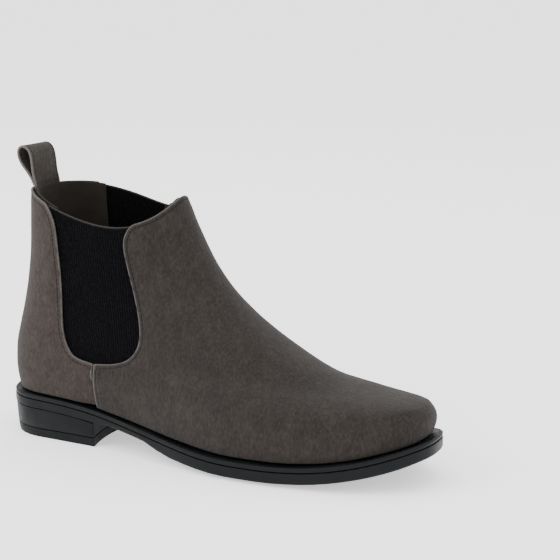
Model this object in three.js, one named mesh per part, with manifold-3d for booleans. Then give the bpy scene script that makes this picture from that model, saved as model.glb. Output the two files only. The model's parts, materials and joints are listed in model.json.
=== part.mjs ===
// Men's chelsea boot, right foot, in millimetres.
// +X points to the toe, +Y to the medial side and +Z up. The boot stands on z = 0, and the origin is at the
// middle of its footprint's box.
//
// The upper is drawn on one surface, the last. A point of it is named by two numbers: `level` runs from 0 at the
// feather edge to 1 at the topline, and `around` runs 0 at the front ridge, 1 at the back seam, 2 at the front
// again, by way of the lateral side. A panel is a patch of that surface with a thickness, and a layer is a depth
// below it.

import * as THREE from "three";
import { mergeVertices } from "three/addons/utils/BufferGeometryUtils.js";
import Module from "manifold-3d";

const wasm = await Module();
wasm.setup();

// Overall sizes
const SOLE_LENGTH = 300;
const BALL_WIDTH = 101;
const SHAFT_HEIGHT = 131; // from the heel seat to the back of the collar
const COLLAR_WIDTH = 64;
const SEAT_HEIGHT = 29; // top of the welt at the heel

// Sole unit
const WELT_THICKNESS = 3;
const WAIST_THICKNESS = 5.6;
const FOREFOOT_THICKNESS = 9;
const TREAD_BACK = 132; // where the thick forefoot of the outsole starts, and the step behind it
const STEP_LENGTH = 8;
const LIFT_THICKNESS = 6;
const HEEL_LENGTH = 77; // back of the heel to the breast's corners
const BREAST_HOLLOW = 6;
const HEEL_INSET = 1.2;
const TOE_SPRING = 18;
const WELT_SHOWS = 3.4; // how far the welt stands out from the upper at the toe
const WELT_SHOWS_HEEL = 1.8;
const EDGE_ROLL = 2; // how far the outsole's border rises to its edge
const BORDER = 8;
const NAIL_RADIUS = 1.3;
const NAIL_HEAD_RADIUS = 2.6;
const NAIL_HEAD_HEIGHT = 0.9;
const NAIL_LENGTH = 25;
const NAIL_PLACES = [
  [22, 0],
  [34, -11],
  [34, 11],
  [52, -11],
  [52, 11],
];

// Materials of the upper, from the outside in
const GAP = 0.3; // between any two pieces
const SUEDE = 1.6;
const MIDDLE_LAYER = 1.3; // gore, stiffener, tape or tab end
const LINING = 1;
const SKIVED = 0.6; // a stiffener's thickness at its edge
const LAYER_GAP = 0.4; // room for the seams between two layers of the upper
const MIDDLE_DEPTH = SUEDE + LAYER_GAP;
const LINING_DEPTH = MIDDLE_DEPTH + MIDDLE_LAYER + LAYER_GAP;
const INSIDE_DEPTH = LINING_DEPTH + LINING;

// Bottom
const FACET_ROOM = 0.7 / 300; // from the lining to the board for each mm of the sole, as facets grow with it
const LASTING_RADIUS = 3; // how the upper turns under the insole board
const TURN_RADIUS = 0.8; // the same for its inner layers
const LASTING_MARGIN = 12.5;
const BOARD_THICKNESS = 2;
const SOCK_THICKNESS = 2.5;
const HEEL_PAD_THICKNESS = 2;
const HEEL_PAD_REACH = 0.27;
const SHANK_THICKNESS = 1.3;
const SHANK_WIDTH = 13;
const SHANK_LENGTH = 104;
const SHANK_BACK = 32;

// Gore window, as [share of its height, distance forward of the shaft's back]
const SEAM_BACK = 76;
const GORE_BOTTOM = 26.5; // its lowest point above the heel seat
const WINDOW_BACK = [
  [0, 76],
  [0.03, 63.5],
  [0.15, 54],
  [0.27, 48],
  [0.48, 43],
  [0.67, 38.7],
  [0.86, 34.5],
  [1, 33],
];
const WINDOW_FRONT = [
  [0, 76],
  [0.04, 90.5],
  [0.11, 100.5],
  [0.23, 106],
  [0.34, 103.8],
  [0.54, 95],
  [0.74, 86.5],
  [0.92, 80],
  [1, 77.5],
];
const GORE_OVERLAP = 7;
// How far the topline falls between the back seam and the front ridge, and how much of it lies to the front
const LATERAL_DIP = { depth: 18.5, lean: 1.5 };
const MEDIAL_DIP = { depth: 10, lean: 3 };
const CORNER = 7.5; // how far a panel's top corner is rounded off
const UNDERLAP = 7; // how far a quarter goes under the vamp at the side seam
const UNDERLAP_THINNED = 0.6; // share of its thickness that is left there
const BACK_SEAM = 0.001; // half the gap at the back seam, round the last
const VAMP_COLUMNS = 26;
const QUARTER_COLUMNS = 10;
const PUFF_COLUMNS = 7; // columns of the vamp on each side of its middle that the toe puff covers
const COUNTER_COLUMNS = 6; // the same for the heel counter, from the back seam

const TAPE_WIDTH = 0.06; // share of the level that the topline tape covers
const TAB_WIDTH = 27;
const TAB_THICKNESS = 1.5;
const TAB_HEIGHT = 25;
const TAB_LEAN = 11;
const TAB_NECK = 1.6; // the loop starts this far above its fold
const TAB_CLEARANCE = 1.8; // the fold's height above the collar

const SUEDE_MATERIAL = { color: 0x544c46, roughness: 0.95, metalness: 0 };
const LINING_MATERIAL = { color: 0x33302d, roughness: 0.9, metalness: 0 };
const ELASTIC_MATERIAL = { color: 0x0c0c0e, roughness: 0.9, metalness: 0 };
const RUBBER_MATERIAL = { color: 0x1b1d1f, roughness: 0.55, metalness: 0 };
const BOARD_MATERIAL = { color: 0x8a7a62, roughness: 0.9, metalness: 0 };
const STIFFENER_MATERIAL = { color: 0xb9b4a8, roughness: 0.8, metalness: 0 };
const STEEL_MATERIAL = { color: 0x9a9da0, roughness: 0.35, metalness: 1 };

// Half widths of the outsole, as [share of the length, share of the ball width]
const LATERAL_SPAN = [
  [0, 0.34],
  [0.2, 0.35],
  [0.32, 0.372],
  [0.43, 0.428],
  [0.55, 0.505],
  [0.65, 0.515],
  [0.75, 0.485],
  [0.87, 0.43],
  [1, 0.35],
];
const MEDIAL_SPAN = [
  [0, 0.33],
  [0.1, 0.335],
  [0.21, 0.32],
  [0.31, 0.295],
  [0.43, 0.32],
  [0.54, 0.405],
  [0.65, 0.48],
  [0.75, 0.485],
  [0.87, 0.455],
  [1, 0.385],
];
const HEEL_ROUND = 0.115; // share of the length over which the heel rounds off
const TOE_ROUND = 0.24;
const SLOPE = 0.04; // share by which the toe box narrows upwards
const BULGE = 1.6; // how far the sides of the upper stand out past its feather edge

// Profile of the upper, as [share of the sole length, share of the shaft height above the welt]
const FRONT_PROFILE = [
  [0.984, 0],
  [0.987, 0.06],
  [0.965, 0.135],
  [0.885, 0.202],
  [0.768, 0.3],
  [0.659, 0.436],
  [0.563, 0.576],
  [0.499, 0.722],
  [0.457, 0.892],
  [0.418, 1.085],
];
const BACK_PROFILE = [
  [0.008, 0],
  [0.005, 0.045],
  [0.003, 0.1],
  [0.003, 0.165],
  [0.008, 0.245],
  [0.02, 0.345],
  [0.034, 0.47],
  [0.046, 0.62],
  [0.052, 0.8],
  [0.055, 1],
];

const mix = THREE.MathUtils.lerp;
const ease = (x, from, to) => THREE.MathUtils.smoothstep(x, from, to);
const limit = THREE.MathUtils.clamp;

/** Value at x of a smooth curve through [x, value] points. */
function along(points, x) {
  const last = points.length - 1;
  let i = 0;
  while (i < last - 1 && x > points[i + 1][0]) i += 1;
  const slope = (k) => {
    const [before, after] = [points[Math.max(k - 1, 0)], points[Math.min(k + 1, last)]];
    return (after[1] - before[1]) / (after[0] - before[0]);
  };
  const [x0, y0] = points[i];
  const [x1, y1] = points[i + 1];
  const width = x1 - x0;
  const u = limit((x - x0) / width, 0, 1);
  const bend = (1 - u) * u * (slope(i) * width * (1 - u) - slope(i + 1) * width * u);
  return mix(y0, y1, u * u * (3 - 2 * u)) + bend;
}

/** Rounded end: 0 at the tip, where share is 0, and 1 where share reaches 1. */
const cap = (share, power) => (1 - (1 - limit(share, 0, 1)) ** power) ** (1 / power);

/** Half width of the sole's outline at x, taken in by inset. Side is -1 for lateral and 1 for medial. */
function halfWidth(side, x, inset = 0) {
  const span = along(side < 0 ? LATERAL_SPAN : MEDIAL_SPAN, x / SOLE_LENGTH);
  const heel = cap((x - inset) / (HEEL_ROUND * SOLE_LENGTH - inset), 2.2);
  const toe = cap((SOLE_LENGTH - inset - x) / (TOE_ROUND * SOLE_LENGTH - inset), 2.5);
  return (span * BALL_WIDTH - inset) * heel * toe;
}

/** Height of the welt's upper face, on which the upper stands. */
function weltTop(x) {
  const ball = WELT_THICKNESS + GAP + FOREFOOT_THICKNESS;
  const rise = SEAT_HEIGHT - ball;
  const height = along(
    [
      [0, ball + rise],
      [0.13, ball + 0.975 * rise],
      [0.24, ball + 0.82 * rise],
      [0.34, ball + 0.54 * rise],
      [0.44, ball + 0.26 * rise],
      [0.53, ball + 0.08 * rise],
      [0.6, ball],
      [0.7, ball],
      [0.8, ball + 0.14 * TOE_SPRING],
      [0.9, ball + 0.48 * TOE_SPRING],
      [1, ball + TOE_SPRING],
    ],
    x / SOLE_LENGTH,
  );
  return Math.max(height, ball);
}

const outsoleTop = (x) => weltTop(x) - WELT_THICKNESS - GAP;

/** How far the outsole's underside rises to its edge. It is flat where the heel is fixed. */
const edgeRoll = (x) => EDGE_ROLL * ease(x, HEEL_LENGTH - 2, HEEL_LENGTH + 8);

/** Height of the outsole's underside: it is thin in the waist and steps down to the tread. */
function underside(x) {
  const tread = ease(x, TREAD_BACK - STEP_LENGTH, TREAD_BACK);
  return outsoleTop(x) - mix(WAIST_THICKNESS, FOREFOOT_THICKNESS, tread);
}

/** Point of a profile, at a level from 0 to 1, as (x, height above the welt). */
function profile(points, level) {
  const place = level * (points.length - 1);
  const table = (k) => points.map((point, i) => [i, point[k]]);
  return [along(table(0), place) * SOLE_LENGTH, along(table(1), place) * SHAFT_HEIGHT];
}

/** Fall of the topline at a share of the way from the back to the front. */
function toplineDip({ depth, lean }, share) {
  const rise = 0.75; // how it climbs again to the front ridge
  const lowest = lean / (lean + rise);
  return depth * (share / lowest) ** lean * ((1 - share) / (1 - lowest)) ** rise;
}

/** Point of the last's surface above the feather edge. */
function wallPoint(level, around) {
  const [backX, backRise] = profile(BACK_PROFILE, level);
  const [frontX, frontRise] = profile(FRONT_PROFILE, level);
  const share = (1 + Math.cos(Math.PI * around)) / 2;
  const side = Math.sin(Math.PI * around) < 0 ? 1 : -1;
  const x = mix(backX, frontX, share);
  const foot = LASTING_RADIUS + GAP;
  const [backZ, frontZ] = [weltTop(backX) + backRise + foot, weltTop(frontX) + frontRise + foot];
  const straight = mix(backZ, frontZ, share);
  const follow = (1 - ease(level, 0, 0.5)) ** 2;
  const sag = (weltTop(x) + foot + mix(backRise, frontRise, share) - straight) * follow;
  const dip = toplineDip(side < 0 ? LATERAL_DIP : MEDIAL_DIP, share) * ease(level, 0.6, 1);
  const bulge = BULGE * Math.sin(Math.PI * limit(level / 0.6, 0, 1));
  const span = along(side < 0 ? LATERAL_SPAN : MEDIAL_SPAN, x / SOLE_LENGTH) * BALL_WIDTH;
  const inset = mix(WELT_SHOWS_HEEL, WELT_SHOWS, ease(share, 0.15, 0.6)) - bulge;
  const slope = SLOPE * ease(share, 0.5, 0.9) * Math.sin(Math.PI * limit(level / 0.6, 0, 1)) ** 2;
  const width = mix(span - inset, COLLAR_WIDTH / 2, ease(level, 0.02, 0.95)) * (1 - slope);
  const heel = cap((x - backX) / (HEEL_ROUND * SOLE_LENGTH), 2.15);
  const capStart = mix(mix(1 - TOE_ROUND, 0.42, ease(level, 0.06, 0.4)), 0.27, ease(level, 0.6, 1));
  const front = cap((1 - share) / (1 - capStart), mix(2.5, 2.35, ease(level, 0.1, 0.5)));
  const ridge = 4 * ease(share, 0.3, 1) * Math.sin(Math.PI * limit(level, 0, 1)) + 1;
  return new THREE.Vector3(x, ridge * ease(share, 0, 0.6) + side * width * heel * front, straight + sag - dip);
}

/** Horizontal direction into the boot at the feather edge. */
function inward(around) {
  const step = 1e-3;
  const tangent = wallPoint(0, around + step).sub(wallPoint(0, around - step));
  return new THREE.Vector3(tangent.y, -tangent.x, 0).normalize();
}

/** Point of the sole's plane inside the feather edge, raised above the welt. */
function floorPoint(around, inset, rise) {
  const point = wallPoint(0, around).addScaledVector(inward(around), inset);
  point.z = weltTop(point.x) + rise;
  return point;
}

/** Point at a depth below the wall's surface. */
function wallLayer(level, around, depth) {
  const step = 1e-3;
  const up = wallPoint(level + step, around).sub(wallPoint(level - step, around));
  const round = wallPoint(level, around + step).sub(wallPoint(level, around - step));
  return wallPoint(level, around).addScaledVector(up.cross(round).normalize(), -depth);
}

/**
 * Point at a depth below the last's surface. Below level 0 a layer turns under the board: it goes round the edge
 * until level -0.5, and flat to the end of its lasting margin at level -1.
 */
function layerPoint(level, around, depth) {
  const radius = Math.max(LASTING_RADIUS - depth, TURN_RADIUS);
  const climb = (wallPoint(0.05, around).z - wallPoint(0, around).z) / 0.05;
  const lift = (depth + radius - LASTING_RADIUS) / climb;
  if (level >= 0) return wallLayer(level + lift * (1 - ease(level, 0, 0.12)), around, depth);
  const start = wallLayer(lift, around, depth);
  const drop = start.z - weltTop(start.x) - GAP - depth;
  const turn = Math.min(-level / 0.5, 1) * (Math.PI / 2);
  const point = start.clone().addScaledVector(inward(around), radius * (1 - Math.cos(turn)));
  point.z = weltTop(point.x) + GAP + depth + drop * (1 - Math.sin(turn));
  if (level >= -0.5) return point;
  return point.lerp(floorPoint(around, LASTING_MARGIN, GAP + depth), (-level - 0.5) / 0.5);
}

/** How far round the last a point lies, given its distance forward of the shaft's back. */
function aroundAt(level, forward) {
  const [backX] = profile(BACK_PROFILE, Math.max(level, 0));
  const [frontX] = profile(FRONT_PROFILE, Math.max(level, 0));
  const share = limit(forward / (frontX - backX), 0, 1);
  return Math.acos(2 * share - 1) / Math.PI;
}

/** Closed solid between two grids of points. Rows run up or forward, and columns so that the outer side is out. */
function solidBetween(outer, inner) {
  const [rows, columns] = [outer.length, outer[0].length];
  const points = [...outer.flat(), ...inner.flat()];
  const at = (i, j) => i * columns + j;
  const below = (i, j) => at(i, j) + rows * columns;
  const faces = [];
  const quad = (a, b, c, d) => faces.push(a, b, c, a, c, d);
  for (let i = 0; i < rows - 1; i += 1) {
    for (let j = 0; j < columns - 1; j += 1) {
      quad(at(i, j), at(i + 1, j), at(i + 1, j + 1), at(i, j + 1));
      quad(below(i, j), below(i, j + 1), below(i + 1, j + 1), below(i + 1, j));
    }
    quad(at(i, 0), below(i, 0), below(i + 1, 0), at(i + 1, 0));
    const j = columns - 1;
    quad(at(i, j), at(i + 1, j), below(i + 1, j), below(i, j));
  }
  for (let j = 0; j < columns - 1; j += 1) {
    quad(at(0, j), at(0, j + 1), below(0, j + 1), below(0, j));
    const i = rows - 1;
    quad(at(i, j), below(i, j), below(i, j + 1), at(i, j + 1));
  }
  return closedGeometry(points, faces);
}

/** The same for two closed rings of rows, the last of which repeats the first. */
function ringBetween(outer, inner) {
  const [rows, columns] = [outer.length, outer[0].length];
  const points = [...outer.flat(), ...inner.flat()];
  const at = (i, j) => i * columns + j;
  const below = (i, j) => at(i, j) + rows * columns;
  const faces = [];
  const quad = (a, b, c, d) => faces.push(a, b, c, a, c, d);
  for (let i = 0; i < rows - 1; i += 1) {
    for (let j = 0; j < columns - 1; j += 1) {
      quad(at(i, j), at(i + 1, j), at(i + 1, j + 1), at(i, j + 1));
      quad(below(i, j), below(i, j + 1), below(i + 1, j + 1), below(i + 1, j));
    }
    const j = columns - 1;
    quad(at(i, 0), below(i, 0), below(i + 1, 0), at(i + 1, 0));
    quad(at(i, j), at(i + 1, j), below(i + 1, j), below(i, j));
  }
  return closedGeometry(points, faces);
}

/** Geometry from points and triangles, with points at one place merged and triangles that vanish dropped. */
function closedGeometry(points, faces) {
  const raw = new THREE.BufferGeometry().setFromPoints(points);
  raw.setIndex(faces);
  const merged = mergeVertices(raw, 1e-3);
  const index = merged.index.array;
  const kept = [];
  for (let i = 0; i < index.length; i += 3) {
    const [a, b, c] = index.slice(i, i + 3);
    if (a !== b && b !== c && c !== a) kept.push(a, b, c);
  }
  merged.setIndex(kept);
  merged.computeVertexNormals();
  return merged;
}

const steps = (count) => Array.from({ length: count + 1 }, (_, i) => i / count);

/** Panel of the upper: levels are its rows, and columnsAt(level) lists where round the last its columns are. */
function panel(levels, columnsAt, outerDepth, innerDepth) {
  const layer = (depth) =>
    levels.map((level, i) => {
      const columns = columnsAt(level);
      return columns.map((around, j) => {
        const [rise, across] = [i / (levels.length - 1), j / (columns.length - 1)];
        return layerPoint(level, around, typeof depth === "function" ? depth(rise, across) : depth);
      });
    });
  return solidBetween(layer(outerDepth), layer(innerDepth));
}

/** Evenly spaced columns between two places. */
const spaced = (from, to, count) => steps(count).map((u) => mix(from, to, u));

const scene = new THREE.Group();

function add(name, geometry, look, parent = scene) {
  const mesh = new THREE.Mesh(geometry, new THREE.MeshStandardMaterial(look));
  mesh.name = name;
  parent.add(mesh);
  return mesh;
}

// ---------------------------------------------------------------- levels and edges

/** Level at which the wall beside the gore is this high above the heel seat. */
function levelAt(height) {
  let [low, high] = [0, 1];
  for (let k = 0; k < 30; k += 1) {
    const middle = (low + high) / 2;
    const { z } = wallPoint(middle, aroundAt(middle, SEAM_BACK));
    if (z - SEAT_HEIGHT < height) low = middle;
    else high = middle;
  }
  return (low + high) / 2;
}

const GORE_LEVEL = levelAt(GORE_BOTTOM);
const UNDERLAP_TOP = levelAt(GORE_BOTTOM - GORE_OVERLAP - 5);
const SEAM_ROOM = 0.0025; // how far round the last a quarter stays down behind the vamp's edge, for each mm of suede
const STEP_UP = 0.03; // levels over which a quarter comes up beside the vamp, above its underlap
const WINDOW_ROWS = [0, 0.012, 0.035, 0.08, 0.15, 0.26, 0.4, 0.55, 0.7, 0.83, 0.92, 0.97, 1];
const TURNED_ROWS = [-1, -0.5, -0.25, 0];
const FOOT_ROWS = [0.25, 0.5, 0.75, 1].map((share) => share * UNDERLAP_TOP);
const LEVELS = [
  ...TURNED_ROWS,
  ...FOOT_ROWS,
  UNDERLAP_TOP + STEP_UP / 5,
  UNDERLAP_TOP + STEP_UP,
  mix(UNDERLAP_TOP + STEP_UP, GORE_LEVEL, 0.5),
  ...WINDOW_ROWS.map((share) => mix(GORE_LEVEL, 1, share)),
];

/** Distance forward of the shaft's back of one edge of the gore window. */
function windowEdge(level, table, outward) {
  const share = (level - GORE_LEVEL) / (1 - GORE_LEVEL);
  if (share <= 0) return SEAM_BACK;
  const corner = CORNER * limit((share - 0.9) / 0.1, 0, 1) ** 2.5;
  return along(table, Math.min(share, 1)) + outward * corner;
}

const vampEdge = (level) => aroundAt(level, windowEdge(level, WINDOW_FRONT, 1));

/** Where round the last a quarter starts: behind the gore, butted to the vamp, or tucked under it lower down. */
function quarterEdge(level) {
  const tuck = UNDERLAP * (1 - ease(level, UNDERLAP_TOP, UNDERLAP_TOP + STEP_UP / 5));
  return aroundAt(level, windowEdge(level, WINDOW_BACK, -1) - 2 * GAP + tuck);
}

/** The vamp's columns at a level, of which the middle ones are reach columns to each side of the ridge. */
const vampColumns = (level, reach = VAMP_COLUMNS / 2) =>
  spaced(-reach, reach, 2 * reach).map((k) => (vampEdge(level) * k) / (VAMP_COLUMNS / 2));

/** Columns of one side, from an edge at the front to the back seam. */
const sideColumns = (edge, end) => steps(QUARTER_COLUMNS).map((u) => mix(edge, end, u ** 1.25));

/** Columns from the lateral side round the back to the medial side. */
function backColumns(edge, reach = QUARTER_COLUMNS) {
  const lateral = sideColumns(edge, 1).slice(-reach - 1);
  return [...lateral, ...lateral.slice(0, -1).map((around) => 2 - around).reverse()];
}

// ---------------------------------------------------------------- upper

/** Share by which a quarter has gone down under the vamp, ahead of the side seam. */
function tucked(level, around) {
  const seam = aroundAt(level, SEAM_BACK);
  const ahead = 1 - ease(around, seam + SEAM_ROOM * SUEDE, seam + 0.03);
  return ahead * (1 - ease(level, UNDERLAP_TOP + STEP_UP / 5, UNDERLAP_TOP + STEP_UP));
}

function quarter(side) {
  const face = (thickness) =>
    LEVELS.map((level) => {
      const row = sideColumns(quarterEdge(level), 1 - BACK_SEAM).map((around) => {
        const down = tucked(level, around);
        const depth = (MIDDLE_DEPTH + GAP / 2) * down + thickness * mix(1, UNDERLAP_THINNED, down);
        return layerPoint(level, side < 0 ? around : 2 - around, depth);
      });
      return side < 0 ? row : row.reverse();
    });
  return solidBetween(face(0), face(SUEDE));
}

/** Panel whose edges thin out, so that they don't show through the suede. */
function stiffener(levels, columnsAt) {
  const depth = (rise, across) => {
    const skive = Math.min(1, (1 - rise) / 0.2, across / 0.14, (1 - across) / 0.14);
    return MIDDLE_DEPTH + mix(SKIVED, MIDDLE_LAYER, skive);
  };
  return panel(levels, columnsAt, MIDDLE_DEPTH, depth);
}

/** The elastic: the window's shape, made larger by the margin that is sewn under the suede. */
function gore(side) {
  const margin = GORE_LEVEL - UNDERLAP_TOP - STEP_UP * 1.4;
  const levels = WINDOW_ROWS.slice(1).map((share) => mix(GORE_LEVEL - margin, 1 - 0.004, share));
  const columnsAt = (level) => {
    const lowered = Math.min(level + margin * (1 - ease(level, GORE_LEVEL, 1)), 1);
    const [front, back] = [
      aroundAt(level, windowEdge(lowered, WINDOW_FRONT, 0) + GORE_OVERLAP),
      aroundAt(level, windowEdge(lowered, WINDOW_BACK, 0) - GORE_OVERLAP),
    ];
    return side < 0 ? spaced(front, back, 10) : spaced(2 - back, 2 - front, 10);
  };
  return panel(levels, columnsAt, MIDDLE_DEPTH, MIDDLE_DEPTH + MIDDLE_LAYER);
}

add("vamp", panel(LEVELS, (level) => vampColumns(level), 0, SUEDE), SUEDE_MATERIAL);
add("quarter_lateral", quarter(-1), SUEDE_MATERIAL);
add("quarter_medial", quarter(1), SUEDE_MATERIAL);
add("gore_lateral", gore(-1), ELASTIC_MATERIAL);
add("gore_medial", gore(1), ELASTIC_MATERIAL);

// The linings stop at the gore window too, where the elastic is seen from both sides.
const liningEdge = (level) => aroundAt(level, windowEdge(level, WINDOW_BACK, 0) - 2 * GAP);
add(
  "vamp_lining",
  panel(LEVELS, (level) => vampColumns(level), LINING_DEPTH, INSIDE_DEPTH),
  LINING_MATERIAL,
);
add(
  "quarter_lining",
  panel(LEVELS, (level) => backColumns(liningEdge(level)), LINING_DEPTH, INSIDE_DEPTH),
  LINING_MATERIAL,
);

const FOOT_LEVELS = TURNED_ROWS.length + FOOT_ROWS.length + 3;
const STIFFENED = LEVELS.slice(0, FOOT_LEVELS);
const COUNTER_LEVELS = LEVELS.slice(0, FOOT_LEVELS + 6);
add("toe_puff", stiffener(STIFFENED, (level) => vampColumns(level, PUFF_COLUMNS)), STIFFENER_MATERIAL);
add(
  "heel_counter",
  stiffener(COUNTER_LEVELS, (level) => backColumns(liningEdge(level), COUNTER_COLUMNS)),
  STIFFENER_MATERIAL,
);

/** Tape that stops the topline stretching. */
const tape = (from, to, count) =>
  panel(
    [1 - TAPE_WIDTH, 1 - TAPE_WIDTH / 2, 0.994],
    () => spaced(from, to, count),
    MIDDLE_DEPTH,
    MIDDLE_DEPTH + SKIVED,
  );
const tapeFront = aroundAt(1, WINDOW_FRONT.at(-1)[1] + CORNER + GORE_OVERLAP + 1);
const tapeBack = aroundAt(1, WINDOW_BACK.at(-1)[1] - CORNER - GORE_OVERLAP);
const tabEdge = aroundAt(1, 3.4);
add("topline_tape_front", tape(-tapeFront, tapeFront, 12), LINING_MATERIAL);
add("topline_tape_lateral", tape(tapeBack, tabEdge - 0.02, 3), LINING_MATERIAL);
add("topline_tape_medial", tape(2 - tabEdge + 0.02, 2 - tapeBack, 3), LINING_MATERIAL);

// ---------------------------------------------------------------- pull tab

const collarBack = wallPoint(1, 1);
const TAB_AXIS = new THREE.Vector3(collarBack.x + MIDDLE_DEPTH + MIDDLE_LAYER / 2, 0, collarBack.z + TAB_CLEARANCE);

/** Closed smooth curve through points [x, z], as a number of points at even distances. */
function closedCurve(points, count) {
  const curve = new THREE.CatmullRomCurve3(
    points.map(([x, z]) => new THREE.Vector3(x, 0, z)),
    true,
    "centripetal",
  );
  return curve.getSpacedPoints(count).slice(0, count);
}

/** Loop of strap that leans back. The two plies are joined at the neck, and a hole above takes a finger. */
function tabLoop() {
  const [half, lean, top] = [TAB_THICKNESS, TAB_LEAN, TAB_HEIGHT];
  const outside = [
    [half, TAB_NECK],
    [half, TAB_NECK + 5],
    [half - 0.4, top * 0.55],
    [half - 1.2, top * 0.78],
    [-lean * 0.35, top - 0.6],
    [-lean * 0.65, top],
    [-lean, top - 3],
    [-lean + 0.3, top * 0.68],
    [-lean * 0.62, top * 0.42],
    [-half - 0.8, TAB_NECK + 4],
    [-half, TAB_NECK],
  ];
  const hole = [
    [-0.6, TAB_NECK + 6],
    [-0.2, TAB_NECK + 9.5],
    [-0.7, top * 0.62],
    [-1.9, top * 0.8],
    [-lean * 0.45, top - half - 0.9],
    [-lean * 0.65, top - half],
    [-lean + half + 0.3, top - 3.6],
    [-lean + half + 0.4, top * 0.7],
    [-lean * 0.52, top * 0.52],
    [-1.5, TAB_NECK + 7],
    [-0.9, TAB_NECK + 6],
  ];
  const count = 28;
  const [out, inn] = [closedCurve(outside, count), closedCurve(hole, count)];
  const at = (ring, i) => ring[i % count].clone().add(TAB_AXIS);
  const wall = (ring) =>
    steps(count).map((u) => steps(4).map((v) => at(ring, Math.round(u * count)).setY((0.5 - v) * TAB_WIDTH)));
  return ringBetween(wall(out), wall(inn));
}
add("pull_tab", tabLoop(), SUEDE_MATERIAL);
add(
  "pull_tab_root",
  panel(
    [0.87, 0.93, 0.996],
    () => spaced(tabEdge, 2 - tabEdge, 10),
    MIDDLE_DEPTH,
    MIDDLE_DEPTH + MIDDLE_LAYER,
  ),
  SUEDE_MATERIAL,
);

// ---------------------------------------------------------------- bottom

/** Grid between the lateral and the medial edge of an outline. Edge(u, side) is its point, from heel to toe. */
function plateGrid(rows, columns, edge) {
  return steps(rows).map((u) => {
    const [lateral, medial] = [edge(u, -1), edge(u, 1)];
    return steps(columns).map((v) => lateral.clone().lerp(medial, v));
  });
}

/** Plate inside the feather edge, between two heights above the welt. Reach is the share of the foot it covers. */
function innerPlate(inset, low, high, rows, columns, reach = 1) {
  const grid = (rise) =>
    plateGrid(rows, columns, (u, side) => floorPoint(1 + side * u * reach, inset, rise));
  return solidBetween(grid(high), grid(low));
}

/** Point on the outline of the sole. */
function solePoint(u, side, inset, height) {
  const x = inset + (SOLE_LENGTH - 2 * inset) * (0.5 - Math.cos(Math.PI * u) / 2);
  return new THREE.Vector3(x, side * halfWidth(side, x, inset), height(x));
}


/** Ring that follows the sole's outline. Section is a list of [inset, height above the welt's lower face]. */
function soleRing(section, count) {
  const rings = Array.from({ length: 2 * count }, (_, i) => {
    const [u, side] = i < count ? [i / count, -1] : [2 - i / count, 1];
    return section.map(([inset, rise]) =>
      solePoint(u, side, inset, (x) => weltTop(x) - WELT_THICKNESS + rise),
    );
  });
  const points = rings.flat();
  const faces = [];
  const size = section.length;
  rings.forEach((_, i) => {
    const next = (i + 1) % rings.length;
    for (let j = 0; j < size; j += 1) {
      const k = (j + 1) % size;
      const [a, b, c, d] = [i * size + j, next * size + j, next * size + k, i * size + k];
      faces.push(a, b, c, a, c, d);
    }
  });
  return closedGeometry(points, faces);
}

/** Slice of the heel, from the back to its hollowed breast. */
function heelSlice(insetTop, top, insetBottom, bottom) {
  const grid = (inset, height) =>
    steps(12).map((u) =>
      steps(10).map((v) => {
        const across = 2 * v - 1;
        const side = across < 0 ? -1 : 1;
        const breast = HEEL_LENGTH - BREAST_HOLLOW * (1 - across ** 2);
        const x = mix(inset, breast, 1 - Math.cos((Math.PI / 2) * u));
        return new THREE.Vector3(x, across * halfWidth(side, x, inset), height(x));
      }),
    );
  return solidBetween(grid(insetTop, top), grid(insetBottom, bottom));
}

const WELT_WIDTH = WELT_SHOWS_HEEL + LASTING_MARGIN - 1;
const weltSection = [
  [0.4, 0],
  [0, 0.8],
  [0, WELT_THICKNESS - 0.9],
  [0.9, WELT_THICKNESS],
  [WELT_WIDTH, WELT_THICKNESS],
  [WELT_WIDTH, 0],
];
add("welt", soleRing(weltSection, 44), RUBBER_MATERIAL);


/** Loop of points round the sole's outline, from the heel along the lateral side to the toe and back. */
const soleLoop = (count, inset, height) =>
  Array.from({ length: 2 * count }, (_, i) =>
    i < count ? solePoint(i / count, -1, inset, height) : solePoint(2 - i / count, 1, inset, height),
  );

/** Closed plate through loops of points, one below the other. */
function stackedPlate(loops) {
  const size = loops[0].length;
  const at = (loop, k) => loop * size + (k % size);
  const faces = [];
  const quad = (a, b, c, d) => faces.push(a, b, c, a, c, d);
  const last = loops.length - 1;
  for (let k = 0; k < size; k += 1) {
    for (let i = 0; i < last; i += 1) quad(at(i, k), at(i + 1, k), at(i + 1, k + 1), at(i, k + 1));
  }
  for (let k = 0; k < size / 2; k += 1) {
    quad(at(0, k), at(0, k + 1), at(0, size - k - 1), at(0, size - k));
    quad(at(last, k), at(last, size - k), at(last, size - k - 1), at(last, k + 1));
  }
  return closedGeometry(loops.flat(), faces);
}

const outsole = () =>
  stackedPlate([
    soleLoop(44, 0, outsoleTop),
    soleLoop(44, 0, (x) => underside(x) + 1.4 * edgeRoll(x) + 0.5),
    soleLoop(44, 0.5, (x) => underside(x) + edgeRoll(x)),
    soleLoop(44, BORDER, underside),
  ]);

// ---------------------------------------------------------------- heel, board and what holds them

const flat = (height) => () => height;
const heelBlock = () =>
  heelSlice(0.4, (x) => underside(x) - GAP, HEEL_INSET, flat(LIFT_THICKNESS + GAP));
const BOARD_BOTTOM = GAP + INSIDE_DEPTH + GAP;
const BOARD_TOP = BOARD_BOTTOM + BOARD_THICKNESS;
const SOCK_BOTTOM = BOARD_TOP + GAP;
const SOCK_TOP = SOCK_BOTTOM + SOCK_THICKNESS;
const BOARD_INSET = INSIDE_DEPTH + FACET_ROOM * SOLE_LENGTH;

/** Circle seen from above, as a loop of points. */
function circle(x, y, radius, z, count = 10) {
  return Array.from({ length: count }, (_, i) => {
    const angle = Math.PI + (2 * Math.PI * i) / count;
    return new THREE.Vector3(x + radius * Math.cos(angle), y + radius * Math.sin(angle), z);
  });
}

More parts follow.
